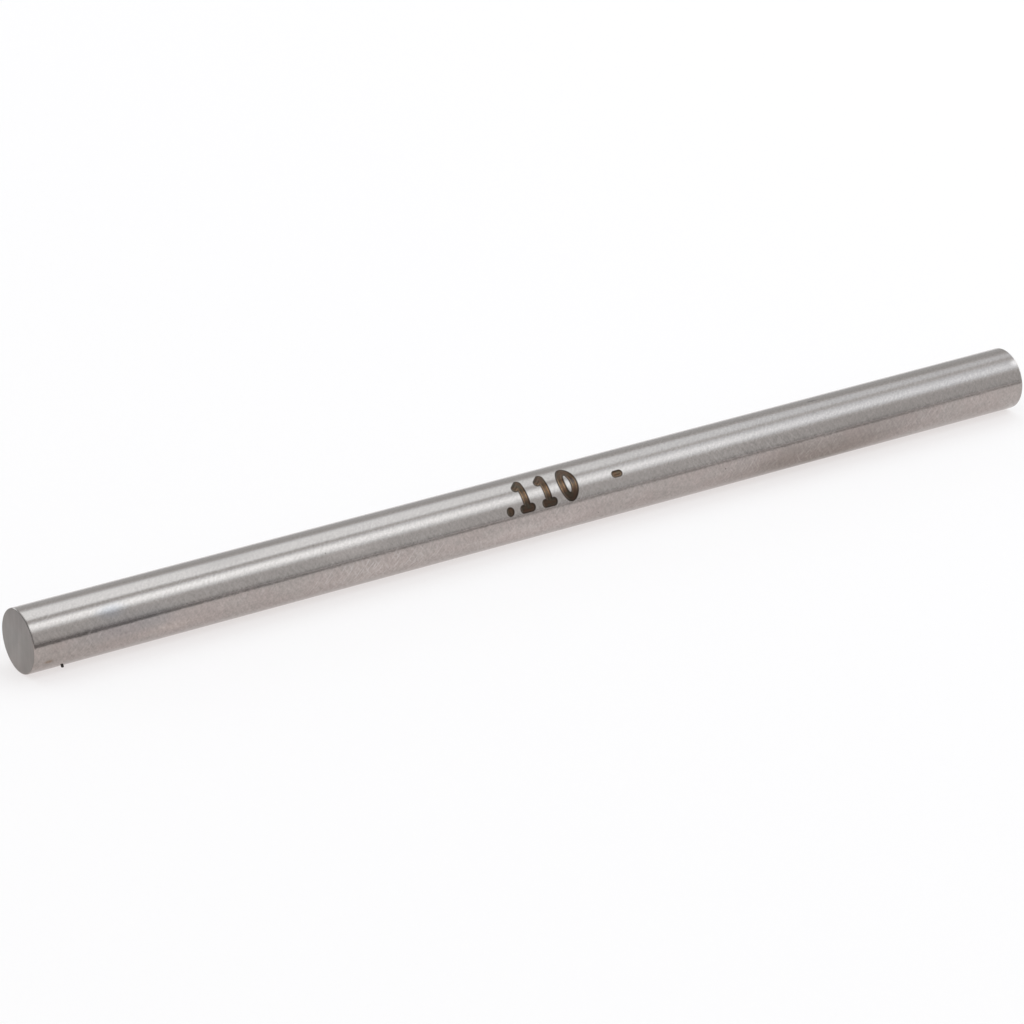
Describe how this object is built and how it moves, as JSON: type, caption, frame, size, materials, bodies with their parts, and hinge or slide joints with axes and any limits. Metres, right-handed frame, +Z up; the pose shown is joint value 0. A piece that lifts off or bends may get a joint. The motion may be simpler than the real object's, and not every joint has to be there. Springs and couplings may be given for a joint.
{
  "type": "pin gauge",
  "caption": "Plain ground steel gauge pin with rounded rims and flat ends, its nominal inch size and a minus sign burned into its side.",
  "frame": {"origin": "on the pin's axis, halfway along its length", "axes": "+X along the pin's axis, the way the mark reads, and +Z up, with the mark on the -Y side and turned up towards +Z"},
  "size_m": [0.0508, 0.0028, 0.0028],
  "materials": {
    "ground_steel": "fine cylindrical grind, with the size burned in as dark brown oxide"
  },
  "bodies": {
    "root": {"gauge_pin": "ground_steel"}
  },
  "joints": []
}
